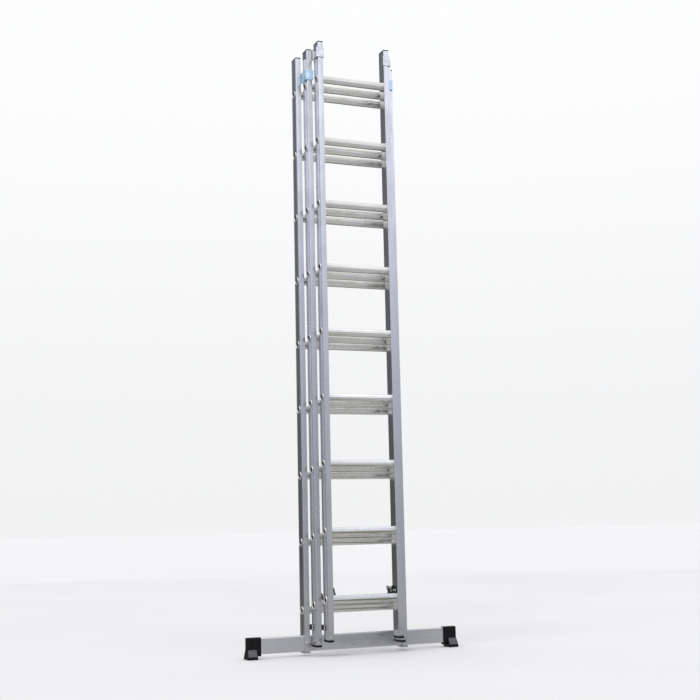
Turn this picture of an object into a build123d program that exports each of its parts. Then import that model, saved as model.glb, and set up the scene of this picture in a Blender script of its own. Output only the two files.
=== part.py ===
"""Three-section push-up extension ladder, closed, standing on its stabiliser bar.

Millimetres. X runs along the rungs, -Y is the front (the narrow top section),
+Z is up. The origin is on the ground, midway between the stiles and in the
middle of the middle section's stiles. Sections are nested one behind the other:
top in front, middle between, base at the back.
"""
from build123d import *
from math import atan2, cos, hypot, pi, radians, sin, tan
import os

# ---- driving dimensions -------------------------------------------------
rung_pitch = 250.0
rung_count = 9
base_rung_level = 165.0       # first rung of the base section above ground
stagger = 20.0                # each section hangs this much above the one behind
section_step = 48.0           # front-to-back pitch of the sections
side_step = 29.0              # sideways step between nested stiles
top_half_width = 151.5        # outside half width of the top section

stile_width = 22.0
stile_depth = 48.0
stile_wall = 1.6
stile_corner = 2.0
stile_above = 144.0           # last rung centre to the stile's cut top
stile_below = 143.0           # first rung centre to the stile's cut end
groove_width = 2.6
groove_depth = 0.5
groove_offset = 17.0          # outside grooves, either side of the stile's middle

track_offset = -19.8          # guide track, measured from the stile's middle
track_mouth = 3.2
track_width = 5.6
track_depth = 3.0
track_skin = 1.2

rung_depth = 30.0
rung_top_half = 12.0          # half the tread's depth: the sides lean in above the widest line
rung_height = 28.0
rung_wall = 1.6
rung_corner = 3.0
rib_pitch = 3.9
rib_groove = 1.7
rib_depth = 0.8
side_groove = 1.2             # radius of the long groove down each side
side_groove_rise = 4.5
collar_thick = 2.0
collar_proud = 0.8
spigot_radius = 13.0          # the rung's round end inside the stile
spigot_wall = 1.8
swage_radius = 15.5           # the lip rolled over outside the stile
swage_proud = 2.2
swage_flare = 2.0

cap_height = 8.0
lid_height = 4.0              # cap on a stile's upper end
lid_insert = 14.0
plug_height = 7.0
plug_lip = 1.2
plug_half = 9.0               # half width of a base plug's insert
plug_clear = 1.0
insert_height = 20.0
insert_gap = 0.2
cap_lip = 0.3                 # the caps stand this much proud of the stile

bar_height = 58.0
bar_depth = 18.0
bar_wall = 2.0
bar_corner = 4.0
bar_bottom = 17.0
bar_setback = 4.0             # bar face behind the base stile's front face
bar_shift = -7.0              # the bar is bolted a little off centre
bar_half = 418.0
bar_hole_inset = 6.0          # small holes beside the boots
bar_hole_radius = 1.6
boot_start = 371.0
boot_end = 424.0
boot_wall = 3.5
boot_top_wall = 2.5
boot_bottom = 10.0
foot_length = 38.0
foot_flare = 2.0
foot_front = 15.0             # how far the foot spreads in front of the sleeve
foot_rear = 12.0
foot_top = 36.0
foot_sole = 8.0
tread_depth = 2.5
tread_width = 3.0
bolt_radius = 4.0
bolt_gap = 0.1
washer_radius = 10.0
washer_thick = 1.5
dome_radius = 8.5
dome_height = 4.5
nut_flat = 6.5                # half the nut's width across flats

guide_height = 40.0
guide_plate = 2.5
guide_gap = 1.0
guide_bend = 2.2
guide_tail = 40.0             # how far a guide overlaps the stile it is riveted to
base_guide_level = 2207.0
middle_guide_level = 2287.0
base_guide_lip = 4.5
middle_guide_lip = 9.5

shoe_level = 95.0
shoe_height = 20.0
shoe_plate = 2.8
shoe_front = 20.0
shoe_rear = 7.6
key_gap = 0.4

rivet_radius = 2.4
rivet_head = 4.6
rivet_dome = 1.8
rivet_tail = 3.2
cap_rivet_rise = 6.0          # above the stile's cut end
guide_rivet_front = -10.0     # rivets from the stile's middle line
guide_rivet_rear = 8.0
housing_rivet_offset = 8.0
housing_rivet_rise = 25.0     # above the first rung's centre line
shoe_rivet_edge = 5.0

housing_reach = 21.5
housing_plate = 2.5
housing_base = 16.0           # above the rung's centre line
housing_top = 42.0
housing_front = -14.0
cheek_shoulder = 12.0         # where the riveted cheek's top edge starts to fall to the boss
cheek_bevel = 8.0
lug_front = 6.0               # the inner cheek is only a lug at the back
lug_top = 41.5
lug_width = 11.0
lug_chamfer = 3.0
lug_shoulder = 9.0            # above the base, where the lug starts to widen forwards
lug_step = 4.0
base_back = 14.0
pivot_y = 24.0
pivot_z = 33.0
pivot_radius = 3.0
pin_head_radius = 5.0
pin_head_height = 1.6
pivot_play = 0.05
boss_radius = 7.5
pawl_width = 8.0
pawl_gap = 0.3
seat_end_angle = 15.0         # degrees back from straight down, about the pivot
toe_tip_angle = 32.0
toe_top_angle = 35.0
toe_thick = 9.0
pawl_neck = 5.5
pawl_lip = 3.6                # the lip in front of the rung that is hooked
pawl_lip_end = -9.5
pawl_lip_root = 7.5           # height over which the lip tapers
pawl_taper = 1.5
neck_slope = 2.0
stop_reach = 15.0             # the stop in front of the pivot, above the housing's base
stop_bottom = 13.6
stop_top = 4.0
spring_wire = 1.2
spring_coil = 4.9
spring_pitch = 1.7
spring_length = 3.6

# ---- derived dimensions -------------------------------------------------
wall_gap = side_step - stile_width
stile_length = stile_below + (rung_count - 1) * rung_pitch + stile_above
bar_top = bar_bottom + bar_height

# name: outside half width, middle of its stiles in Y, level of its first rung
sections = {
    "base": (top_half_width + 2 * side_step, section_step, base_rung_level),
    "middle": (top_half_width + side_step, 0.0, base_rung_level + stagger),
    "top": (top_half_width, -section_step, base_rung_level + 2 * stagger),
}
sides = {"left": -1, "right": 1}
behind = {"top": "middle", "middle": "base"}

base_half, base_y, base_rung = sections["base"]
bar_front = base_y - stile_depth / 2 + bar_setback
bar_middle = bar_front + bar_depth / 2
bolt_x = base_half - stile_width / 2
bolt_z = bar_bottom + bar_height / 2


def save(builder, label):
    """Name the finished piece and write it."""
    builder.part.label = label
    export_step(builder.part, f"parts/{label}.step")


def rung_levels(first):
    """Heights of a section's rung centres."""
    return [first + i * rung_pitch for i in range(rung_count)]


def span(low, high):
    """Centre and size of an interval, for placing rectangles by their edges."""
    return (low + high) / 2, abs(high - low)


def rectangle_between(x0, x1, y0, y1, mode=Mode.ADD):
    """Rectangle in the current sketch, given by its edges."""
    x_mid, width = span(x0, x1)
    y_mid, height = span(y0, y1)
    with Locations((x_mid, y_mid)):
        Rectangle(width, height, mode=mode)


def rivet(origin, direction, grip):
    """Blind rivet: domed head on the outside, shank and set tail inside."""
    seat = Plane(origin=origin, z_dir=direction)
    with BuildSketch(seat.offset(-grip)) as shank:
        Circle(rivet_radius)
    extrude(shank.sketch, amount=grip)
    with BuildSketch(seat) as head:
        Circle(rivet_head)
    extrude(head.sketch, amount=rivet_dome, taper=35)
    with BuildSketch(seat.offset(-grip - rivet_dome)) as tail:
        Circle(rivet_tail)
    extrude(tail.sketch, amount=rivet_dome)


def drill(origin, direction, depth, radius):
    """Round hole from a face into the part, along -direction."""
    with BuildSketch(Plane(origin=origin, z_dir=direction)) as hole:
        Circle(radius)
    extrude(hole.sketch, amount=-depth, mode=Mode.SUBTRACT)


# ---- rivet places -------------------------------------------------------
def cap_rivet_place(section, side):
    """Rivet low on a stile's front face that holds the rubber cap's insert."""
    half, y, first = sections[section]
    return (side * (half - stile_width / 2), y - stile_depth / 2, first - stile_below + cap_rivet_rise)


def guide_rivet_places(section):
    """Two rivets in each top guide, on the stile's inner face."""
    y = sections[section][1]
    level = base_guide_level if section == "base" else middle_guide_level
    middle = level + guide_height / 2
    return [(y + guide_rivet_front, middle), (y + guide_rivet_rear, middle)]


def housing_rivet_places(section):
    """Two rivets that hold a latch housing to the stile's inner face."""
    y, first = sections[section][1:]
    rise = first + housing_rivet_rise
    return [(y - housing_rivet_offset, rise), (y + housing_rivet_offset, rise)]


def shoe_rivet_places(section):
    """Two rivets that hold a lower guide shoe to the stile's outer face."""
    y = sections[section][1]
    place = y + housing_rivet_offset
    return [(place, shoe_level + shoe_rivet_edge), (place, shoe_level + shoe_height - shoe_rivet_edge)]


# ---- stiles -------------------------------------------------------------
def stile_profile(x, y, side, tracked):
    """Box section with two fine outside grooves and, where needed, a guide track."""
    outer = x + side * stile_width / 2
    inner = x - side * stile_width / 2
    with Locations((x, y)):
        RectangleRounded(stile_width, stile_depth, stile_corner)
        RectangleRounded(
            stile_width - 2 * stile_wall, stile_depth - 2 * stile_wall,
            stile_corner - stile_wall, mode=Mode.SUBTRACT)
    for offset in (-groove_offset, groove_offset):
        rectangle_between(
            outer, outer - side * groove_depth,
            y + offset - groove_width / 2, y + offset + groove_width / 2, Mode.SUBTRACT)
    if tracked:
        middle = y + track_offset
        box_depth = stile_wall + track_depth + track_skin
        box_half = track_width / 2 + track_skin
        rectangle_between(
            inner + side * stile_wall / 2, inner + side * box_depth,
            y - stile_depth / 2 + stile_wall / 2, middle + box_half)
        rectangle_between(
            inner + side * stile_wall, inner + side * (stile_wall + track_depth),
            middle - track_width / 2, middle + track_width / 2, Mode.SUBTRACT)
        rectangle_between(
            inner, inner + side * stile_wall,
            middle - track_mouth / 2, middle + track_mouth / 2, Mode.SUBTRACT)


def make_stile(section, side_name):
    """One stile, punched for its rungs and drilled for what is fixed to it."""
    half, y, first = sections[section]
    side = sides[side_name]
    x = side * (half - stile_width / 2)
    inner = side * (half - stile_width)
    bottom = bar_bottom if section == "base" else first - stile_below
    top = first - stile_below + stile_length
    with BuildPart() as rail:
        with BuildSketch(Plane.XY.offset(bottom)):
            stile_profile(x, y, side, section != "top")
        extrude(amount=top - bottom)
        with BuildSketch(Plane.YZ.offset(x - stile_width / 2)):
            with Locations(*[(y, z) for z in rung_levels(first)]):
                Circle(spigot_radius)
        extrude(amount=stile_width, mode=Mode.SUBTRACT)
        if section == "base":
            cut_for_stabiliser(x, y)
        else:
            drill(cap_rivet_place(section, side), (0, -1, 0), 3 * stile_wall, rivet_radius)
            for place in housing_rivet_places(section):
                drill((inner, *place), (-side, 0, 0), 2 * stile_wall, rivet_radius)
            for place in shoe_rivet_places(section):
                drill((side * half, *place), (side, 0, 0), 2 * stile_wall, rivet_radius)
        if section != "top":
            for place in guide_rivet_places(section):
                drill((inner, *place), (-side, 0, 0), 2 * stile_wall, rivet_radius)
    save(rail, f"{section}_stile_{side_name}")


def cut_for_stabiliser(x, y):
    """Notch in the stile's side walls for the bar, and the bolt's two holes."""
    with BuildSketch(Plane.YZ.offset(x - stile_width / 2)) as notch:
        rectangle_between(
            bar_front - bolt_gap, bar_front + bar_depth + bolt_gap, bar_bottom, bar_top + bolt_gap)
    extrude(notch.sketch, amount=stile_width, mode=Mode.SUBTRACT)
    drill((x, y - stile_depth / 2, bolt_z), (0, -1, 0), stile_depth, bolt_radius + bolt_gap)


# ---- rungs --------------------------------------------------------------
def side_lean():
    """Angle between a rung's side and the vertical."""
    return atan2(rung_depth / 2 - rung_top_half, rung_height - rung_depth / 2)


def corner_cut(corner):
    """How far a rounding of this radius reaches along the tread from its sharp corner."""
    return corner * tan((pi / 2 - side_lean()) / 2)


def rung_outline(y, z, grow):
    """D shape, flat side up: a half round below sides that lean in towards the tread."""
    radius = rung_depth / 2 + grow
    centre = z - rung_height / 2 + rung_depth / 2
    top = z + rung_height / 2 + grow
    edge = rung_top_half + grow
    corner = rung_corner + grow / 2
    cut = corner_cut(corner)
    tread = edge - cut
    flank = (edge + cut * sin(side_lean()), top - cut * cos(side_lean()))
    with BuildLine() as outline:
        ThreePointArc((y - radius, centre), (y, centre - radius), (y + radius, centre))
        Line((y + radius, centre), (y + flank[0], flank[1]))
        RadiusArc((y + flank[0], flank[1]), (y + tread, top), -corner)
        Line((y + tread, top), (y - tread, top))
        RadiusArc((y - tread, top), (y - flank[0], flank[1]), -corner)
        Line((y - flank[0], flank[1]), (y - radius, centre))
    make_face(outline.line)


def rung_grooves(y, z):
    """Anti-slip grooves in the tread and one long groove down each side."""
    with Locations((y, z + rung_height / 2 - rib_depth / 2)):
        with GridLocations(rib_pitch, 1, 5, 1):
            Rectangle(rib_groove, rib_depth, mode=Mode.SUBTRACT)
    rise = side_groove_rise - (rung_depth - rung_height) / 2
    flank = rung_depth / 2 - rise * tan(side_lean())
    with Locations((y - flank, z + side_groove_rise), (y + flank, z + side_groove_rise)):
        Circle(side_groove, mode=Mode.SUBTRACT)


def rung_end(y, z, side, inner):
    """Collar against the stile, round spigot through it, and the lip rolled over outside."""
    outward = (side, 0, 0)
    with BuildSketch(Plane.YZ.offset(side * (inner - collar_thick))) as collar:
        rung_outline(y, z, collar_proud)
    extrude(collar.sketch, amount=collar_thick, dir=outward)
    face = Plane(origin=(side * (inner + stile_width), y, z), z_dir=outward)
    with BuildSketch(face.offset(-stile_width)) as spigot:
        Circle(spigot_radius)
    extrude(spigot.sketch, amount=stile_width)
    with BuildSketch(face) as lip:
        Circle(swage_radius)
    extrude(lip.sketch, amount=swage_proud, taper=25)


def bore_rung_end(y, z, side, half):
    """Bore through a rung's end, belled out where the lip was rolled over."""
    mouth = Plane(origin=(side * (half + swage_proud), y, z), z_dir=(side, 0, 0))
    with BuildSketch(mouth) as bell:
        Circle(spigot_radius - spigot_wall + swage_flare)
    extrude(bell.sketch, amount=-swage_flare, taper=45, mode=Mode.SUBTRACT)
    with BuildSketch(mouth) as bore:
        Circle(spigot_radius - spigot_wall)
    extrude(bore.sketch, amount=-stile_width - swage_proud - collar_thick, mode=Mode.SUBTRACT)


def make_rung(section, number, z):
    """One extruded rung, hollow from end to end."""
    half, y = sections[section][:2]
    inner = half - stile_width
    with BuildPart() as rung:
        with BuildSketch(Plane.YZ.offset(-inner)):
            rung_outline(y, z, 0)
            rung_grooves(y, z)
        extrude(amount=2 * inner)
        with BuildSketch(Plane.YZ.offset(-inner)):
            rung_outline(y, z, -rung_wall)
        extrude(amount=2 * inner, mode=Mode.SUBTRACT)
        for side in sides.values():
            rung_end(y, z, side, inner)
            bore_rung_end(y, z, side, half)
    save(rung, f"{section}_rung_{number}")


# ---- ends of the stiles -------------------------------------------------
def make_caps(section):
    """Rubber caps on the upper ends of a section's stiles, and on the cut ends of a hanging one's."""
    half, y, first = sections[section]
    top = first + (rung_count - 1) * rung_pitch + stile_above
    with BuildPart() as caps:
        for side in sides.values():
            x = side * (half - stile_width / 2)
            stile_cap(x, y, side, section != "top", top, lid_height, lid_insert)
            if section != "base":
                stile_cap(x, y, side, section != "top", first - stile_below, -cap_height, -insert_height)
        if section != "base":
            for side in sides.values():
                drill(cap_rivet_place(section, side), (0, -1, 0), 3 * stile_wall + rivet_dome, rivet_tail)
    save(caps, f"{section}_caps")


def stile_cap(x, y, side, tracked, end, height, insert):
    """Cap over a stile's end, upwards if height is positive, with an insert the other way."""
    with BuildSketch(Plane.XY.offset(end)) as cover:
        with Locations((x, y)):
            RectangleRounded(stile_width + 2 * cap_lip, stile_depth + 2 * cap_lip, stile_corner)
    extrude(cover.sketch, amount=height, taper=6)
    with BuildSketch(Plane.XY.offset(end)) as plug:
        insert_profile(x, y, side, tracked)
    extrude(plug.sketch, amount=-insert)


def insert_profile(x, y, side, tracked):
    """The part of a cap that fills the stile, cut back where the track runs."""
    hollow = stile_wall + insert_gap
    with Locations((x, y)):
        RectangleRounded(stile_width - 2 * hollow, stile_depth - 2 * hollow, stile_corner - stile_wall)
    if tracked:
        inner = x - side * stile_width / 2
        reach = stile_wall + track_depth + track_skin + insert_gap
        back = y + track_offset + track_width / 2 + track_skin + insert_gap
        rectangle_between(inner, inner + side * reach, y - stile_depth / 2, back, Mode.SUBTRACT)


def make_base_plugs():
    """Pair of plugs that close the base stiles under the stabiliser bar."""
    rear = base_y + stile_depth / 2 - stile_wall - insert_gap
    front = bar_front + bar_depth + plug_clear
    with BuildPart() as plugs:
        for side in sides.values():
            x = side * (base_half - stile_width / 2)
            with BuildSketch(Plane.XY.offset(bar_bottom)):
                with Locations((x, base_y)):
                    RectangleRounded(stile_width + 2 * plug_lip, stile_depth + 2 * plug_lip, stile_corner)
            extrude(amount=-plug_height, taper=8)
            with BuildSketch(Plane.XY.offset(bar_bottom)):
                rectangle_between(x - plug_half, x + plug_half, front, rear)
            extrude(amount=insert_height)
    save(plugs, "base_plugs")


# ---- stabiliser ---------------------------------------------------------
def make_stabiliser_bar():
    """Wide box tube that runs through both base stiles."""
    with BuildPart() as bar:
        with BuildSketch(Plane.YZ.offset(bar_shift - bar_half)):
            with Locations((bar_middle, bolt_z)):
                RectangleRounded(bar_depth, bar_height, bar_corner)
                RectangleRounded(
                    bar_depth - 2 * bar_wall, bar_height - 2 * bar_wall,
                    bar_corner - bar_wall, mode=Mode.SUBTRACT)
        extrude(amount=2 * bar_half)
        for side in sides.values():
            drill((side * bolt_x, bar_front, bolt_z), (0, -1, 0), bar_depth, bolt_radius + bolt_gap)
            hole_x = bar_shift + side * (boot_start - bar_hole_inset)
            drill((hole_x, bar_front, bar_top - bar_hole_inset), (0, -1, 0), 2 * bar_wall, bar_hole_radius)
    save(bar, "stabiliser_bar")


def make_boot(side_name):
    """Rubber boot: a sleeve over the bar's end with a flared foot under it."""
    side = sides[side_name]
    start = bar_shift + side * boot_start
    end = bar_shift + side * boot_end
    outward = (side, 0, 0)
    outer = end + side * foot_flare
    foot = (outer - side * foot_length, outer)
    front = bar_front - boot_wall
    rear = bar_front + bar_depth + boot_wall
    with BuildPart() as boot:
        with BuildSketch(Plane.YZ.offset(start)) as sleeve:
            with Locations(((front + rear) / 2, (boot_bottom + bar_top + boot_top_wall) / 2)):
                RectangleRounded(rear - front, bar_top + boot_top_wall - boot_bottom, bar_corner + 1)
        extrude(sleeve.sketch, amount=boot_end - boot_start, dir=outward)
        with BuildSketch(Plane.XY.offset(foot_top)) as neck:
            rectangle_between(foot[0], end, front, rear)
        with BuildSketch(Plane.XY.offset(foot_sole)) as spread:
            rectangle_between(*foot, front - foot_front, rear + foot_rear)
        loft([neck.sketch, spread.sketch])
        with BuildSketch() as sole:
            rectangle_between(*foot, front - foot_front, rear + foot_rear)
        extrude(sole.sketch, amount=foot_sole)
        foot_tread(foot, (2 * bar_front + bar_depth + foot_rear - foot_front) / 2)
        with BuildSketch(Plane.YZ.offset(start)) as socket:
            with Locations((bar_middle, bolt_z)):
                RectangleRounded(bar_depth, bar_height, bar_corner)
        extrude(socket.sketch, amount=bar_half - boot_start, dir=outward, mode=Mode.SUBTRACT)
    save(boot, f"stabiliser_boot_{side_name}")


def foot_tread(foot, middle):
    """Grooves along the sole, spaced evenly about its middle line."""
    pitch = 3 * tread_width
    for step in (-1.5, -0.5, 0.5, 1.5):
        centre = middle + step * pitch
        with BuildSketch() as groove:
            rectangle_between(*foot, centre - tread_width / 2, centre + tread_width / 2)
        extrude(groove.sketch, amount=tread_depth, mode=Mode.SUBTRACT)


def make_stabiliser_bolts():
    """Domed bolts through the base stiles and the bar, each with its washers and nut."""
    with BuildPart() as bolts:
        for side in sides.values():
            front = Plane(origin=(side * bolt_x, base_y - stile_depth / 2, bolt_z), z_dir=(0, -1, 0))
            back = Plane(origin=(side * bolt_x, base_y + stile_depth / 2, bolt_z), z_dir=(0, 1, 0))
            for face in (front, back):
                with BuildSketch(face):
                    Circle(washer_radius)
                extrude(amount=washer_thick)
            with BuildSketch(front.offset(washer_thick)):
                Circle(dome_radius)
            extrude(amount=dome_height, taper=25)
            with BuildSketch(back.offset(washer_thick)):
                RegularPolygon(nut_flat, 6, major_radius=False)
            extrude(amount=nut_flat)
            with BuildSketch(front):
                Circle(bolt_radius)
            extrude(amount=-stile_depth - nut_flat - 2 * washer_thick)
    save(bolts, "stabiliser_bolts")


# ---- guides -------------------------------------------------------------
def make_top_guide(section, held, level, lip, side_name):
    """Bent strip on the stile's inner face that wraps the narrower stile in front."""
    side = sides[side_name]
    half, y = sections[section][:2]
    held_half, held_y = sections[held][:2]
    inner = side * (half - stile_width)
    held_inner = side * (held_half - stile_width)
    front = held_y - stile_depth / 2 - guide_gap
    lip_face = held_inner - side * guide_gap
    with BuildPart() as guide:
        with BuildSketch(Plane.XY.offset(level)):
            rectangle_between(
                inner, inner - side * guide_plate,
                front - guide_plate, y - stile_depth / 2 + guide_tail)
            rectangle_between(inner, lip_face - side * guide_plate, front - guide_plate, front)
            rectangle_between(
                lip_face, lip_face - side * guide_plate,
                front - guide_plate, front - guide_plate + lip)
        extrude(amount=guide_height)
        corners = guide.edges().filter_by(Axis.Z).group_by(Axis.Y)[0]
        fillet(corners, guide_bend)
        for place in guide_rivet_places(section):
            drill((inner - side * guide_plate, *place), (-side, 0, 0), guide_plate, rivet_radius)
    save(guide, f"{section}_guide_{side_name}")


def make_shoes(section):
    """Pair of nylon shoes on the outer faces, keyed into the tracks of the section behind."""
    half, y = sections[section][:2]
    track = sections[behind[section]][1] + track_offset
    with BuildPart() as shoes:
        for side in sides.values():
            outer = side * half
            far_wall = wall_gap + stile_wall
            key = track_mouth / 2 - key_gap
            head = track_width / 2 - key_gap
            with BuildSketch(Plane.XY.offset(shoe_level)):
                rectangle_between(
                    outer, outer + side * shoe_plate,
                    y + stile_depth / 2 - shoe_front, y + stile_depth / 2 + shoe_rear)
                rectangle_between(
                    outer + side * shoe_plate, outer + side * (far_wall + key_gap),
                    track - key, track + key)
                rectangle_between(
                    outer + side * (far_wall + key_gap), outer + side * (far_wall + track_depth - key_gap),
                    track - head, track + head)
            extrude(amount=shoe_height)
            for place in shoe_rivet_places(section):
                drill((outer + side * shoe_plate, *place), (side, 0, 0), shoe_plate, rivet_radius)
    save(shoes, f"{section}_shoes")


# ---- rung latches -------------------------------------------------------
def make_latch_housing(section, side_name):
    """Pressed bracket above the first rung: a riveted cheek, a base, and a lug that holds the pivot."""
    side = sides[side_name]
    half, y, first = sections[section]
    inner = half - stile_width
    with BuildPart() as housing:
        with BuildSketch(Plane.YZ.offset(side * inner)):
            cheek_outline(y, first)
        extrude(amount=housing_plate, dir=(-side, 0, 0))
        with BuildSketch(Plane.YZ.offset(side * (inner - housing_reach + housing_plate))):
            lug_outline(y, first)
        extrude(amount=housing_plate, dir=(-side, 0, 0))
        with BuildSketch(Plane.YZ.offset(side * inner)):
            rectangle_between(
                y + lug_front, y + base_back,
                first + housing_base, first + housing_base + housing_plate)
        extrude(amount=housing_reach, dir=(-side, 0, 0))
        with BuildSketch(Plane.YZ.offset(side * inner)):
            with Locations((y + pivot_y, first + pivot_z)):
                Circle(pivot_radius)
        extrude(amount=housing_reach, dir=(-side, 0, 0), mode=Mode.SUBTRACT)
        for place in housing_rivet_places(section):
            drill((side * inner, *place), (side, 0, 0), housing_plate, rivet_radius)
    save(housing, f"{section}_latch_housing_{side_name}")


def cheek_outline(y, first):
    """Side view of a cheek: a plate on the base that rises to the pivot's boss."""
    base = first + housing_base
    top = first + housing_top
    boss = (y + pivot_y, first + pivot_z)
    boss_bottom = boss[1] - boss_radius
    with BuildLine() as outline:
        Polyline(
            (y + housing_front, base),
            (y + base_back, base),
            (boss[0], boss_bottom))
        RadiusArc((boss[0], boss_bottom), (boss[0], boss[1] + boss_radius), -boss_radius)
        Polyline(
            (boss[0], boss[1] + boss_radius),
            (y + cheek_shoulder, top),
            (y + housing_front + cheek_bevel, top),
            (y + housing_front, top - cheek_bevel),
            (y + housing_front, base))
    make_face(outline.line)


def lug_outline(y, first):
    """Side view of the inner lug: it leans back from the base and rises past the pivot's boss."""
    base = first + housing_base
    top = first + lug_top
    boss_z = first + pivot_z
    boss_back = y + pivot_y + boss_radius
    with BuildLine() as outline:
        Polyline(
            (y + lug_front, base),
            (y + base_back, base),
            (y + pivot_y, boss_z - boss_radius))
        RadiusArc((y + pivot_y, boss_z - boss_radius), (boss_back, boss_z), -boss_radius)
        Polyline(
            (boss_back, boss_z),
            (boss_back, top - lug_chamfer),
            (boss_back - lug_chamfer, top),
            (boss_back - lug_width + lug_chamfer, top),
            (boss_back - lug_width, top - lug_chamfer),
            (y + base_back, base + lug_shoulder),
            (y + lug_front, base + lug_step),
            (y + lug_front, base))
    make_face(outline.line)


def pawl_point(angle, radius, y, first):
    """Point at a distance from the pivot, at an angle back from straight down."""
    turn = radians(angle)
    return (y + pivot_y + radius * sin(turn), first + pivot_z - radius * cos(turn))


def pawl_outline(y, first):
    """Side view of a pawl: its bearing face is an arc about the pivot."""
    corner_y = section_step - rung_top_half + corner_cut(rung_corner) - pivot_y
    corner_z = rung_height / 2 - rung_corner - stagger - pivot_z
    seat = hypot(corner_y, corner_z) - rung_corner - pawl_gap
    toe_tip = pawl_point(toe_tip_angle, seat, y, first)
    toe_top = pawl_point(toe_top_angle, seat - toe_thick, y, first)
    seat_end = pawl_point(seat_end_angle, seat, y, first)
    lip_back = seat_end[0]
    lip_end = first + pawl_lip_end
    neck_front = y + pivot_y - pawl_neck
    neck_back = y + pivot_y + pawl_neck
    with BuildLine() as outline:
        Polyline(
            seat_end,
            (lip_back, lip_end),
            (lip_back - pawl_lip, lip_end),
            (lip_back - pawl_lip - pawl_taper, lip_end + pawl_lip_root),
            (neck_front, first + pivot_z),
            (neck_back, first + pivot_z + neck_slope),
            toe_top,
            toe_tip)
        RadiusArc(toe_tip, seat_end, seat)
    make_face(outline.line)


def make_pawl(section, side_name):
    """Zinc-plated pawl that hooks over the rung behind and springs forward to pass one."""
    side = sides[side_name]
    half, y, first = sections[section]
    middle = half - stile_width - housing_reach / 2
    start = side * (middle + pawl_width / 2)
    inward = (-side, 0, 0)
    with BuildPart() as pawl:
        with BuildSketch(Plane.YZ.offset(start)):
            pawl_outline(y, first)
            with Locations((y + pivot_y, first + pivot_z)):
                Circle(boss_radius - 0.5)
        extrude(amount=pawl_width, dir=inward)
        with BuildSketch(Plane.YZ.offset(start)):
            rectangle_between(
                y + pivot_y - stop_reach, y + pivot_y,
                first + pivot_z - stop_bottom, first + pivot_z - stop_top)
        extrude(amount=pawl_width, dir=inward)
        with BuildSketch(Plane.YZ.offset(start)):
            with Locations((y + pivot_y, first + pivot_z)):
                Circle(pivot_radius + pivot_play)
        extrude(amount=pawl_width, dir=inward, mode=Mode.SUBTRACT)
    save(pawl, f"{section}_pawl_{side_name}")


def make_latch_springs(section):
    """Torsion springs round the latch pivots, beside each pawl."""
    half, y, first = sections[section]
    with BuildPart() as springs:
        for side in sides.values():
            start = side * (half - stile_width - housing_plate - 0.2 - spring_wire / 2)
            with BuildLine():
                coil = Helix(
                    pitch=spring_pitch, height=spring_length - spring_wire, radius=spring_coil,
                    center=(start, y + pivot_y, first + pivot_z), direction=(-side, 0, 0))
            with BuildSketch(Plane(origin=coil @ 0, z_dir=coil % 0)):
                Circle(spring_wire / 2)
            sweep(path=coil, is_frenet=True)
    save(springs, f"{section}_latch_springs")


# ---- rivets -------------------------------------------------------------
def make_rivets(section):
    """Every blind rivet and latch pivot of one section."""
    half, y, first = sections[section]
    inner = half - stile_width
    with BuildPart() as rivets:
        for side in sides.values():
            inward = (-side, 0, 0)
            if section != "top":
                for place in guide_rivet_places(section):
                    rivet((side * (inner - guide_plate), *place), inward, guide_plate + stile_wall)
            if section != "base":
                rivet(cap_rivet_place(section, side), (0, -1, 0), stile_wall)
                for place in housing_rivet_places(section):
                    rivet((side * (inner - housing_plate), *place), inward, housing_plate + stile_wall)
                for place in shoe_rivet_places(section):
                    rivet((side * (half + shoe_plate), *place), (side, 0, 0), shoe_plate + stile_wall)
                latch_pivot(side * inner, y + pivot_y, first + pivot_z, inward)
    save(rivets, f"{section}_rivets")


def latch_pivot(x, y, z, inward):
    """Shouldered pin across a latch housing, headed over its inner cheek."""
    seat = Plane(origin=(x, y, z), z_dir=inward)
    with BuildSketch(seat) as pin:
        Circle(pivot_radius)
    extrude(pin.sketch, amount=housing_reach)
    with BuildSketch(seat.offset(housing_reach)) as head:
        Circle(pin_head_radius)
    extrude(head.sketch, amount=pin_head_height, taper=20)


# ---- build everything ---------------------------------------------------
os.makedirs("parts", exist_ok=True)

for section_name, (_, _, first_level) in sections.items():
    for side_label in sides:
        make_stile(section_name, side_label)
    for index, level_z in enumerate(rung_levels(first_level), start=1):
        make_rung(section_name, index, level_z)
    make_rivets(section_name)
    make_caps(section_name)

for section_name in behind:
    make_shoes(section_name)
    make_latch_springs(section_name)
    for side_label in sides:
        make_latch_housing(section_name, side_label)
        make_pawl(section_name, side_label)

for side_label in sides:
    make_top_guide("base", "middle", base_guide_level, base_guide_lip, side_label)
    make_top_guide("middle", "top", middle_guide_level, middle_guide_lip, side_label)
    make_boot(side_label)

make_base_plugs()
make_stabiliser_bar()
make_stabiliser_bolts()
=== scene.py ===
"""A three-section extension ladder: the looks, floor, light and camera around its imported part.

Everything is in metres in the part's own frame: X runs along the rungs, Z is up, and -Y is the front.
"""

import math

import bmesh
import bpy
from mathutils import Matrix, Vector


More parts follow.
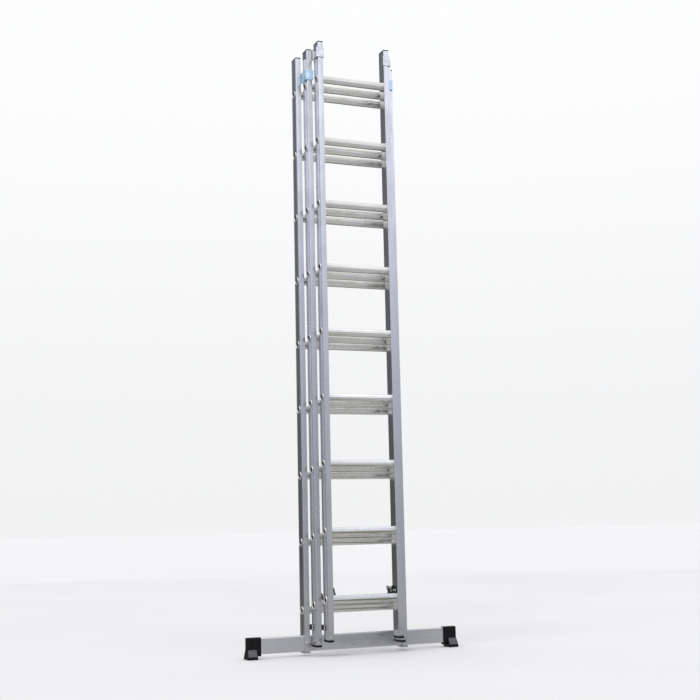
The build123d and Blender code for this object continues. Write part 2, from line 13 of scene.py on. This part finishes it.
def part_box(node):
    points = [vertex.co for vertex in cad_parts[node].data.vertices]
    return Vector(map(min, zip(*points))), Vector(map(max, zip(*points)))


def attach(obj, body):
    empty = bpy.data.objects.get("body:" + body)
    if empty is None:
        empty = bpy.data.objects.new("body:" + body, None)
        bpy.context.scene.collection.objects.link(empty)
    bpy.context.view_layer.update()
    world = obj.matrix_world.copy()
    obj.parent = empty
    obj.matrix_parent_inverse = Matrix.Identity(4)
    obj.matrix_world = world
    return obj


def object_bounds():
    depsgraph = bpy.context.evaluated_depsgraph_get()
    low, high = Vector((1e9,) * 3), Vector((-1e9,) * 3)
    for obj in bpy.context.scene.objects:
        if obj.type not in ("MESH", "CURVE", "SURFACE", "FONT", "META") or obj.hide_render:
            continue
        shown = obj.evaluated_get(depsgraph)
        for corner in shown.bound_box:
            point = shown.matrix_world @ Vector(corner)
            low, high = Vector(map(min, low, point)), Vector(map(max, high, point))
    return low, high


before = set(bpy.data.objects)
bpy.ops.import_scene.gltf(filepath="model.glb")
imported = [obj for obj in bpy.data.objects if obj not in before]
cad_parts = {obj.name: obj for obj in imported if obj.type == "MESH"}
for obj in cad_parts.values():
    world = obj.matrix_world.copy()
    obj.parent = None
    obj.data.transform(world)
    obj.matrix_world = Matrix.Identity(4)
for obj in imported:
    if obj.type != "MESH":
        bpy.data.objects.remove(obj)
cad_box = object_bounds()

# ---------------------------------------------------------------- driving values

RUNG_PITCH = 0.25
MILLIMETRE = 0.001
SECTIONS = ("base", "middle", "top")
SIDES = {"left": -1.0, "right": 1.0}

CAMERA_TURN = 22.5  # degrees that the camera stands to the left of straight ahead
CAMERA_TILT = 8.05  # degrees that it looks up
CAMERA_ROLL = 1.24  # degrees that it leans
CAMERA_DISTANCE = 4.65  # from the ladder's upright middle line, level
CAMERA_HEIGHT = 0.489
CAMERA_ASIDE = -0.012  # how far its middle line passes to the right of the ladder
CAMERA_LENS = 62.4  # millimetres
SENSOR_WIDTH = 36.0

FLOOR_RADIUS = 60.0
FLOOR_GAP = 0.2 * MILLIMETRE  # below the feet
HORIZON_GLOW = 0.90
SKY_GLOW = 1.0
SKY_RISE = 0.42  # sine of the height where the sky reaches its full glow
KEY_STRENGTH = 0.7
KEY_WIDTH = 35.0  # degrees
KEY_FROM = Vector((-0.50, -0.42, 0.76))
DRUM_RADIUS = 7.0  # studio walls that only the metal's reflections see
DRUM_HEIGHT = 6.0
DRUM_GAP = 0.1 * MILLIMETRE
LEFT_REAR = Vector((-0.5, 0.866))
DARK_PATCH = Vector((0.2, -0.42))  # dark ground in front of the bar
DARK_PATCH_SQUEEZE = 0.8
DARK_PATCH_REACH = (0.15, 0.36)

STILE_FLANGE_SHADE = (9.0 * MILLIMETRE, 7.5 * MILLIMETRE)  # where the painted shade on the stiles' edge flanges starts and is full
RUNG_END_RING = (16.0 * MILLIMETRE, 20.0 * MILLIMETRE)
METAL_CORNERS = 8.0 * MILLIMETRE  # how far the grime and painted shade reach out of corners
STEEL_CORNERS = 6.0 * MILLIMETRE
METAL_RELIEF = 0.07 * MILLIMETRE
STEEL_RELIEF = 0.09 * MILLIMETRE
RUBBER_RELIEF = 0.18 * MILLIMETRE
FLOOR_RELIEF = 0.1 * MILLIMETRE
# colours that corners are darkened towards: grime, and painted shade
METAL_GRIME_AND_SHADE = (0.16, 0.155, 0.15)
STEEL_GRIME_AND_SHADE = (0.10, 0.09, 0.08)

BOOT_WALL = 3.5 * MILLIMETRE
FOOT_FLARE = 2.0 * MILLIMETRE
FOOT_LENGTH = 38.0 * MILLIMETRE
FOOT_TOP = 36.0 * MILLIMETRE
FOOT_SOLE = 8.0 * MILLIMETRE
PAD_RIBS = 8
PAD_MARGIN = 2.0 * MILLIMETRE
PAD_THICKNESS = 0.5 * MILLIMETRE
PAD_RIB_HEIGHT = 0.7 * MILLIMETRE
PAD_RIB_ROUNDING = 0.7
PAD_COLUMNS_PER_RIB = 8
PAD_ROWS = 6


# ---------------------------------------------------------------- node helpers


class Recipe:
    """A material's node tree, with one short method for each kind of node used here."""

    def __init__(self, name, shader="ShaderNodeBsdfPrincipled"):
        self.material = bpy.data.materials.new(name)
        self.material.use_nodes = True
        self.tree = self.material.node_tree
        self.tree.nodes.clear()
        self.shader = self.tree.nodes.new(shader)
        output = self.tree.nodes.new("ShaderNodeOutputMaterial")
        self.tree.links.new(self.shader.outputs[0], output.inputs["Surface"])
        self.place = self.tree.nodes.new("ShaderNodeTexCoord").outputs["Object"]

    def feed(self, socket, value):
        """Sets an input to a number or colour, or links it to another node's output."""
        if isinstance(value, bpy.types.NodeSocket):
            self.tree.links.new(value, socket)
        elif isinstance(value, tuple) and len(value) == 3:
            socket.default_value = (*value, 1.0)
        else:
            socket.default_value = value

    def surface(self, **values):
        """Sets the shader's own inputs by name, with _ for a space."""
        for name, value in values.items():
            self.feed(self.shader.inputs[name.replace("_", " ")], value)

    def axes(self):
        """The object's own X, Y and Z in metres."""
        node = self.tree.nodes.new("ShaderNodeSeparateXYZ")
        self.feed(node.inputs["Vector"], self.place)
        return node.outputs["X"], node.outputs["Y"], node.outputs["Z"]

    def stretched(self, x, y, z):
        """The object's own place in metres, multiplied along each axis."""
        node = self.tree.nodes.new("ShaderNodeMapping")
        self.feed(node.inputs["Vector"], self.place)
        node.inputs["Scale"].default_value = (x, y, z)
        return node.outputs["Vector"]

    def noise(self, where, scale=1.0, detail=4.0, roughness=0.55, distortion=0.0):
        node = self.tree.nodes.new("ShaderNodeTexNoise")
        self.feed(node.inputs["Vector"], where)
        node.inputs["Scale"].default_value = scale
        node.inputs["Detail"].default_value = detail
        node.inputs["Roughness"].default_value = roughness
        node.inputs["Distortion"].default_value = distortion
        return node.outputs["Fac"]

    def cells(self, where, scale):
        """Distance to the middle of the nearest random cell."""
        node = self.tree.nodes.new("ShaderNodeTexVoronoi")
        self.feed(node.inputs["Vector"], where)
        node.inputs["Scale"].default_value = scale
        return node.outputs["Distance"]

    def spread(self, value, low, high, to_low=0.0, to_high=1.0):
        """A value between low and high spread smoothly over another range, and held at its ends."""
        node = self.tree.nodes.new("ShaderNodeMapRange")
        node.interpolation_type = "SMOOTHSTEP"
        self.feed(node.inputs["Value"], value)
        node.inputs["From Min"].default_value = low
        node.inputs["From Max"].default_value = high
        node.inputs["To Min"].default_value = to_low
        node.inputs["To Max"].default_value = to_high
        return node.outputs["Result"]

    def work(self, operation, first, second=0.5):
        """One arithmetic step on two values."""
        node = self.tree.nodes.new("ShaderNodeMath")
        node.operation = operation
        self.feed(node.inputs[0], first)
        self.feed(node.inputs[1], second)
        return node.outputs["Value"]

    def length(self, first, second):
        """The length of the flat vector with these two parts."""
        squares = self.work("ADD", self.work("POWER", first, 2.0), self.work("POWER", second, 2.0))
        return self.work("SQRT", squares)

    def total(self, *shares):
        """The sum of values, each given with its share."""
        added = self.work("MULTIPLY", *shares[0])
        for value, share in shares[1:]:
            added = self.work("ADD", added, self.work("MULTIPLY", value, share))
        return added

    def blend(self, share, first, second):
        """A colour that goes from the first to the second as share goes from 0 to 1."""
        node = self.tree.nodes.new("ShaderNodeMix")
        node.data_type = "RGBA"
        self.feed(node.inputs["Factor"], share)
        self.feed(node.inputs[6], first)
        self.feed(node.inputs[7], second)
        return node.outputs[2]

    def ramp(self, value, stops):
        """A colour for each value, between stops of (value, colour)."""
        node = self.tree.nodes.new("ShaderNodeValToRGB")
        self.feed(node.inputs["Fac"], value)
        marks = node.color_ramp.elements
        while len(marks) < len(stops):
            marks.new(0.5)
        for mark, (position, colour) in zip(marks, stops):
            mark.position = position
            mark.color = (*colour, 1.0)
        return node.outputs["Color"]

    def nooks(self, reach):
        """1 in the open, falling towards 0 in corners no wider than reach; here it paints shade into
        corners.
        """
        node = self.tree.nodes.new("ShaderNodeAmbientOcclusion")
        node.samples = 6
        node.inputs["Distance"].default_value = reach
        return node.outputs["AO"]

    def relief(self, height, depth, strength=1.0):
        """Bumps of the real depth, in metres."""
        node = self.tree.nodes.new("ShaderNodeBump")
        node.inputs["Strength"].default_value = strength
        node.inputs["Distance"].default_value = depth
        self.feed(node.inputs["Height"], height)
        self.surface(Normal=node.outputs["Normal"])


# ---------------------------------------------------------------- materials


def drawn_metal(name, pale, dull, along, rough, extra=None, wear_and_shade=1.0):
    """Extruded aluminium: die lines along its length, cloudy oxide, scuffs, and grime with painted shade
    in its corners.

    extra(made) may return a share from 0 to 1 for zones that are darker and rougher. The wear argument
    sets how strong the scuffs, specks, zones, corner grime and painted corner shade are.
    """
    made = Recipe(name)
    fine = [1100.0 if axis != along else 2.5 for axis in "XYZ"]
    broad = [170.0 if axis != along else 1.1 for axis in "XYZ"]
    lines = made.noise(made.stretched(*fine), detail=5.0, roughness=0.7)
    bands = made.noise(made.stretched(*broad), detail=3.0)
    clouds = made.noise(made.place, scale=9.0, detail=7.0, roughness=0.62, distortion=0.5)
    specks = made.spread(made.noise(made.place, scale=210.0, detail=4.0, roughness=0.6), 0.60, 0.72)
    across = [420.0 if axis != along else 26.0 for axis in "XYZ"]
    scratches = made.noise(made.stretched(*across), detail=8.0, roughness=0.74, distortion=0.6)
    scuffs = made.spread(scratches, 0.60, 0.70)
    worn = made.spread(made.total((bands, 0.55), (clouds, 0.65)), 0.47, 0.74)
    zone = extra(made) if extra else None
    metal = made.blend(worn, pale, dull)
    marks = made.total((scuffs, 0.22 * wear_and_shade), (specks, 0.30 * wear_and_shade))
    metal = made.blend(marks, metal, tuple(0.55 * part for part in dull))
    # for the stiles, part of this darkening is painted shade on the edge flanges
    if zone:
        share = made.work("MULTIPLY", zone, 0.55 * wear_and_shade)
        metal = made.blend(share, metal, tuple(0.60 * part for part in dull))
    # painted shade: ambient occlusion darkens the corners, broken up below by grime stains
    corners = made.spread(made.nooks(METAL_CORNERS), 0.15, 0.55, 0.75 * wear_and_shade, 0.0)
    stains = made.spread(made.noise(made.place, scale=70.0, detail=5.0), 0.35, 0.7)
    grime_and_shade = made.work("MULTIPLY", corners, made.total((stains, 0.7), (clouds, 0.3)))
    roughness = made.total((made.spread(worn, 0.0, 1.0, *rough), 1.0), (scuffs, 0.10), (specks, 0.08))
    if zone:
        roughness = made.total((roughness, 1.0), (zone, 0.12))
    made.surface(
        Base_Color=made.blend(grime_and_shade, metal, METAL_GRIME_AND_SHADE),
        Metallic=made.spread(grime_and_shade, 0.1, 0.9, 1.0, 0.4),
        Roughness=roughness,
    )
    made.relief(made.total((lines, 0.8), (scuffs, -0.4), (clouds, 0.5)), METAL_RELIEF, 0.5 * wear_and_shade)
    return made.material


def stile_shade_and_ring_zones(section):
    """Zones of a stile that are rougher and painted darker: its edge flanges, where the darkening is
    painted shade, and the ring round each rung end.
    """
    low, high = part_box(f"{section}_stile_left")
    middle = (low.y + high.y) / 2
    half_depth = (high.y - low.y) / 2
    rung_low, rung_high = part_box(f"{section}_rung_1")
    first_rung = (rung_low.z + rung_high.z) / 2

    # the rung levels are counted from below the floor, so that none is negative
    def zones(made):
        _, y, z = made.axes()
        aside = made.work("ABSOLUTE", made.work("SUBTRACT", y, middle))
        flange_start, flange_full = STILE_FLANGE_SHADE
        # painted shade: darker bands along the stile's front and rear edges
        flange_shade = made.spread(aside, half_depth - flange_start, half_depth - flange_full)
        level = made.work("SUBTRACT", z, first_rung - 4 * RUNG_PITCH)
        away = made.work("PINGPONG", level, RUNG_PITCH / 2)
        ring = made.spread(made.length(away, aside), *RUNG_END_RING, 0.7, 0.0)
        ragged = made.noise(made.place, scale=130.0, detail=5.0, roughness=0.7)
        ring = made.work("MULTIPLY", ring, made.spread(ragged, 0.32, 0.62))
        return made.work("MAXIMUM", made.work("MULTIPLY", flange_shade, 0.7), ring)

    return zones


def rung_zones(section):
    """The rungs are duller beside the stiles, where nobody treads, and bright where they were swaged."""
    inner_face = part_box(f"{section}_stile_right")[0].x

    def zones(made):
        x, _, _ = made.axes()
        aside = made.work("ABSOLUTE", x)
        blotches = made.noise(made.place, scale=24.0, detail=6.0, roughness=0.68)
        dull = made.spread(aside, 0.25 * inner_face, inner_face, 0.0, 0.7)
        swaged = made.spread(aside, inner_face, inner_face + MILLIMETRE, 1.0, 0.0)
        return made.total((made.work("MULTIPLY", dull, made.spread(blotches, 0.35, 0.65)), swaged))

    return zones


def plated_steel(name, pale, dull, rough=(0.22, 0.42)):
    """Zinc-plated steel: small crystals, a few dull patches, and grime with painted shade in its corners.
    """
    made = Recipe(name)
    crystals = made.cells(made.place, 420.0)
    clouds = made.noise(made.place, scale=42.0, detail=7.0, roughness=0.65)
    worn = made.spread(made.total((clouds, 0.85), (crystals, 0.25)), 0.38, 0.68)
    # painted shade: ambient occlusion darkens the corners towards the grime colour
    corners = made.spread(made.nooks(STEEL_CORNERS), 0.3, 0.85, 0.8, 0.0)
    made.surface(
        Base_Color=made.blend(corners, made.blend(worn, pale, dull), STEEL_GRIME_AND_SHADE),
        Metallic=made.spread(corners, 0.1, 0.9, 1.0, 0.5),
        Roughness=made.spread(worn, 0.0, 1.0, *rough),
    )
    made.relief(made.total((crystals, 0.4), (clouds, 1.0)), STEEL_RELIEF, 0.5)
    return made.material


def moulded_rubber(name, fresh, dusty, rough=(0.55, 0.82), gloss=0.35):
    """Moulded rubber or matt plastic: a fine pebbled skin, rubbed patches, and dust."""
    made = Recipe(name)
    pebbles = made.cells(made.place, 900.0)
    clouds = made.noise(made.place, scale=38.0, detail=7.0, roughness=0.66)
    specks = made.spread(made.noise(made.place, scale=300.0, detail=4.0), 0.58, 0.72)
    dust = made.spread(clouds, 0.46, 0.74)
    colour = made.blend(dust, fresh, dusty)
    lint = tuple(1.8 * part for part in dusty)
    made.surface(
        Base_Color=made.blend(made.work("MULTIPLY", specks, 0.35), colour, lint),
        Roughness=made.spread(dust, 0.0, 1.0, *rough),
        Specular_IOR_Level=gloss,
    )
    made.relief(made.total((pebbles, 0.5), (clouds, 1.0)), RUBBER_RELIEF, 0.6)
    return made.material


def pale_floor():
    """Matt floor paint."""
    made = Recipe("floor_paint")
    soft = made.noise(made.place, scale=0.8, detail=4.0)
    grain = made.noise(made.place, scale=160.0, detail=3.0)
    made.surface(
        Base_Color=made.blend(soft, (0.77, 0.77, 0.775), (0.81, 0.81, 0.815)),
        Roughness=made.spread(soft, 0.3, 0.7, 0.75, 0.9),
        Specular_IOR_Level=0.15,
    )
    made.relief(grain, FLOOR_RELIEF, 0.3)
    return made.material


def finishes():
    """The record's material slots, each with its own finish."""
    return {
        "bar_aluminium": drawn_metal(
            "bar_metal", (0.80, 0.80, 0.81), (0.69, 0.69, 0.70), "X", (0.26, 0.40)),
        "guide_steel": plated_steel(
            "guide_metal", (0.82, 0.84, 0.86), (0.66, 0.69, 0.70)),
        "fastener_steel": plated_steel(
            "fastener_metal", (0.86, 0.86, 0.86), (0.62, 0.62, 0.62), (0.14, 0.3)),
        "pawl_zinc": plated_steel(
            "pawl_metal", (0.74, 0.75, 0.78), (0.52, 0.53, 0.56), (0.2, 0.4)),
        "housing_black": moulded_rubber(
            "housing_paint", (0.006, 0.007, 0.008), (0.02, 0.022, 0.024), (0.34, 0.55)),
        "spring_steel": plated_steel(
            "spring_metal", (0.62, 0.62, 0.63), (0.42, 0.42, 0.43)),
        "cap_rubber": moulded_rubber(
            "cap_skin", (0.004, 0.004, 0.005), (0.014, 0.013, 0.013), gloss=0.2),
        "boot_rubber": moulded_rubber(
            "boot_skin", (0.003, 0.003, 0.004), (0.012, 0.011, 0.011), gloss=0.2),
        "plug_grey": moulded_rubber(
            "plug_skin", (0.30, 0.30, 0.30), (0.42, 0.41, 0.40)),
        "shoe_nylon": moulded_rubber(
            "shoe_skin", (0.045, 0.041, 0.036), (0.09, 0.082, 0.072), (0.35, 0.55)),
    }


def dress_nodes():
    """Gives every CAD node the finish of its material slot."""
    looks = finishes()
    stiles = {
        section: drawn_metal(
            f"{section}_stile_metal", (0.91, 0.915, 0.93), (0.78, 0.785, 0.81), "Z", (0.15, 0.30),
            stile_shade_and_ring_zones(section))
        for section in SECTIONS
    }
    rungs = {
        section: drawn_metal(
            f"{section}_rung_metal", (0.97, 0.96, 0.93), (0.86, 0.845, 0.80), "X", (0.18, 0.30),
            rung_zones(section), 0.65)
        for section in SECTIONS
    }
    blue_zinc = plated_steel("blue_zinc_metal", (0.56, 0.74, 0.86), (0.44, 0.60, 0.72), (0.2, 0.34))
    for name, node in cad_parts.items():
        for place in node.material_slots:
            slot = place.material.name.split(".")[0]
            if slot == "stile_aluminium":
                place.material = stiles[name.split("_")[0]]
            elif slot == "rung_aluminium":
                place.material = rungs[name.split("_")[0]]
            elif name.startswith("base_guide"):
                place.material = blue_zinc
            else:
                place.material = looks[slot]


# ---------------------------------------------------------------- built details


def new_object(name, mesh, material):
    """A new object in the scene with one material."""
    mesh.materials.append(material)
    made = bpy.data.objects.new(name, mesh)
    bpy.context.collection.objects.link(made)
    return made


def pad_surface(corners, ribs):
    """A patch between four corners (top left, top right, bottom left, bottom right) with ribs down it."""
    top_left, top_right, bottom_left, bottom_right = corners
    out = (bottom_left - top_left).cross(top_right - top_left).normalized()
    if out.y > 0:
        out = -out
    across, down = ribs * PAD_COLUMNS_PER_RIB, PAD_ROWS
    shape = bmesh.new()
    grid = []
    for row in range(-1, down + 2):
        line = []
        for column in range(-1, across + 2):
            inside = 0 <= row <= down and 0 <= column <= across
            u = min(max(column / across, 0.0), 1.0)
            v = min(max(row / down, 0.0), 1.0)
            flat = top_left.lerp(top_right, u).lerp(bottom_left.lerp(bottom_right, u), v)
            wave = abs(math.sin(math.pi * ribs * u)) ** PAD_RIB_ROUNDING
            rise = PAD_RIB_HEIGHT * wave if inside else 0.0
            rise += PAD_THICKNESS if inside else -PAD_THICKNESS
            line.append(shape.verts.new(flat + out * rise))
        grid.append(line)
    for upper, lower in zip(grid, grid[1:]):
        for a, b, c, d in zip(upper, upper[1:], lower[1:], lower):
            shape.faces.new((a, b, c, d))
    bmesh.ops.recalc_face_normals(shape, faces=shape.faces)
    return shape


def build_foot_pads():
    """Ribbed pads on the sloping fronts of the boots' feet, paler grey than the boots as a painted sheen.
    """
    # painted sheen: the pads are paler than the boot rubber to stand for light on the sloping faces
    skin = moulded_rubber("foot_pad_skin", (0.085, 0.088, 0.094), (0.15, 0.152, 0.158), gloss=0.4)
    sleeve_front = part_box("stabiliser_bar")[0].y - BOOT_WALL
    for side_name, side in SIDES.items():
        low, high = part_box(f"stabiliser_boot_{side_name}")
        sole_front = low.y
        outer = low.x if side < 0 else high.x
        inner = outer - side * (FOOT_LENGTH - PAD_MARGIN)
        slope = (FOOT_TOP - FOOT_SOLE) / (sleeve_front - sole_front)
        top = FOOT_TOP - PAD_MARGIN
        bottom = FOOT_SOLE + PAD_MARGIN
        top_y = sleeve_front - PAD_MARGIN / slope
        bottom_y = sole_front + PAD_MARGIN / slope
        top_outer = outer - side * (FOOT_FLARE + PAD_MARGIN)
        bottom_outer = outer - side * PAD_MARGIN
        shape = pad_surface((
            Vector((inner, top_y, top)), Vector((top_outer, top_y, top)),
            Vector((inner, bottom_y, bottom)), Vector((bottom_outer, bottom_y, bottom))), PAD_RIBS)
        mesh = bpy.data.meshes.new(f"foot_pad_{side_name}")
        shape.to_mesh(mesh)
        shape.free()
        mesh.shade_smooth()
        pad = new_object(f"foot_pad_{side_name}", mesh, skin)
        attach(pad, "base_section")


# ---------------------------------------------------------------- floor, light and camera


def build_disc(name, radius, material):
    """A flat round sheet, level."""
    mesh = bpy.data.meshes.new(name)
    shape = bmesh.new()
    bmesh.ops.create_circle(shape, cap_ends=True, segments=96, radius=radius)
    shape.to_mesh(mesh)
    shape.free()
    return new_object(name, mesh, material)


def build_floor():
    floor = build_disc("floor", FLOOR_RADIUS, pale_floor())
    floor.location.z = cad_box[0].z - FLOOR_GAP


def build_world():
    """A pale studio that is a little brighter overhead than at the floor's far edge."""
    world = bpy.data.worlds.new("studio")
    world.use_nodes = True
    tree = world.node_tree
    where = tree.nodes.new("ShaderNodeTexCoord").outputs["Generated"]
    split = tree.nodes.new("ShaderNodeSeparateXYZ")
    tree.links.new(where, split.inputs["Vector"])
    rise = tree.nodes.new("ShaderNodeMapRange")
    rise.interpolation_type = "SMOOTHSTEP"
    tree.links.new(split.outputs["Z"], rise.inputs["Value"])
    rise.inputs["From Min"].default_value = 0.0
    rise.inputs["From Max"].default_value = SKY_RISE
    rise.inputs["To Min"].default_value = HORIZON_GLOW
    rise.inputs["To Max"].default_value = SKY_GLOW
    backdrop = tree.nodes["Background"]
    tree.links.new(rise.outputs["Result"], backdrop.inputs["Strength"])
    backdrop.inputs["Color"].default_value = (0.985, 0.99, 1.0, 1.0)
    bpy.context.scene.world = world


def build_key_light():
    """A soft far light from the front, high on the ladder's left."""
    lamp = bpy.data.lights.new("key_light", "SUN")
    lamp.energy = KEY_STRENGTH
    lamp.angle = math.radians(KEY_WIDTH)
    holder = bpy.data.objects.new("key_light", lamp)
    bpy.context.collection.objects.link(holder)
    holder.rotation_mode = "QUATERNION"
    holder.rotation_quaternion = (-KEY_FROM).to_track_quat("-Z", "Y")


def reflected_only(thing):
    """Hides a stage piece from everything but the metal's reflections."""
    thing.visible_camera = False
    thing.visible_diffuse = False
    thing.visible_shadow = False
    thing.visible_transmission = False


def glowing(made, colour):
    """The finished material of a card that gives off a colour, and isn't sampled as a lamp."""
    made.surface(Color=colour, Strength=1.0)
    made.material.cycles.emission_sampling = "NONE"
    return made.material


def left_rear(made, x, y):
    """1 at the studio wall towards the left rear, falling to 0 at right angles to it."""
    return made.total((x, LEFT_REAR.x / DRUM_RADIUS), (y, LEFT_REAR.y / DRUM_RADIUS))


def wall_glow():
    """Studio walls: grey low down, pale and bluish high up, and dark at the left rear."""
    made = Recipe("wall_glow", "ShaderNodeEmission")
    x, y, z = made.axes()
    height = made.work("DIVIDE", z, DRUM_HEIGHT)
    pale = made.ramp(height, [
        (0.0, (0.32, 0.33, 0.36)),
        (0.16, (0.40, 0.42, 0.48)),
        (0.34, (0.52, 0.55, 0.65)),
        (0.55, (0.76, 0.80, 0.95)),
        (0.78, (1.20, 1.24, 1.40)),
        (1.0, (1.15, 1.18, 1.28)),
    ])
    dark = made.ramp(height, [
        (0.0, (0.07, 0.07, 0.072)),
        (0.5, (0.12, 0.12, 0.13)),
        (1.0, (0.13, 0.135, 0.145)),
    ])
    shade = made.spread(left_rear(made, x, y), 0.60, 0.84)
    return glowing(made, made.blend(shade, pale, dark))


def ceiling_glow():
    """An even pale ceiling."""
    made = Recipe("ceiling_glow", "ShaderNodeEmission")
    soft = made.noise(made.place, scale=0.4, detail=2.0)
    return glowing(made, made.blend(soft, (0.86, 0.86, 0.86), (0.98, 0.98, 0.985)))


def ground_glow():
    """Ground as the metal sees it: mid grey, darker at the left rear and just in front of the bar."""
    made = Recipe("ground_glow", "ShaderNodeEmission")
    x, y, _ = made.axes()
    soft = made.noise(made.place, scale=0.7, detail=3.0)
    pale = made.blend(soft, (0.40, 0.405, 0.415), (0.50, 0.50, 0.505))
    from_x = made.work("SUBTRACT", x, DARK_PATCH.x)
    from_y = made.work("MULTIPLY", made.work("SUBTRACT", y, DARK_PATCH.y), DARK_PATCH_SQUEEZE)
    away = made.spread(made.length(from_x, from_y), *DARK_PATCH_REACH)
    pale = made.blend(away, (0.14, 0.145, 0.13), pale)
    shade = made.spread(left_rear(made, x, y), 0.03, 0.12)
    return glowing(made, made.blend(shade, pale, (0.10, 0.10, 0.10)))


def build_reflections():
    """Walls, ground and ceiling that only show in reflections, as a studio's grey cards do."""
    walls = bpy.data.meshes.new("reflected_walls")
    shape = bmesh.new()
    bmesh.ops.create_cone(
        shape, segments=64, radius1=DRUM_RADIUS, radius2=DRUM_RADIUS, depth=DRUM_HEIGHT,
        matrix=Matrix.Translation((0.0, 0.0, DRUM_HEIGHT / 2)))
    shape.to_mesh(walls)
    shape.free()
    reflected_only(new_object("reflected_walls", walls, wall_glow()))
    ground = build_disc("reflected_ground", DRUM_RADIUS, ground_glow())
    ground.location.z = cad_box[0].z - DRUM_GAP
    reflected_only(ground)
    ceiling = build_disc("reflected_ceiling", DRUM_RADIUS, ceiling_glow())
    ceiling.location.z = DRUM_HEIGHT
    reflected_only(ceiling)


def build_camera():
    turn = math.radians(CAMERA_TURN)
    tilt = math.radians(CAMERA_TILT)
    roll = math.radians(CAMERA_ROLL)
    level = Vector((math.sin(turn), math.cos(turn), 0.0))
    aside = Vector((math.cos(turn), -math.sin(turn), 0.0))
    forward = level * math.cos(tilt) + Vector((0.0, 0.0, math.sin(tilt)))
    upright = aside.cross(forward)
    up = upright * math.cos(roll) + aside * math.sin(roll)
    right = forward.cross(up)
    eye = bpy.data.cameras.new("camera")
    eye.sensor_width = SENSOR_WIDTH
    eye.lens = CAMERA_LENS
    eye.clip_end = 4 * FLOOR_RADIUS
    holder = bpy.data.objects.new("camera", eye)
    bpy.context.collection.objects.link(holder)
    turned = Matrix((right, up, -forward)).transposed().to_4x4()
    stand = aside * CAMERA_ASIDE - level * CAMERA_DISTANCE + Vector((0.0, 0.0, CAMERA_HEIGHT))
    holder.matrix_world = Matrix.Translation(stand) @ turned
    bpy.context.scene.camera = holder


# ---------------------------------------------------------------- the whole scene

dress_nodes()
build_foot_pads()
build_floor()
build_world()
build_key_light()
build_reflections()
build_camera()
bpy.context.scene.view_settings.view_transform = "Standard"
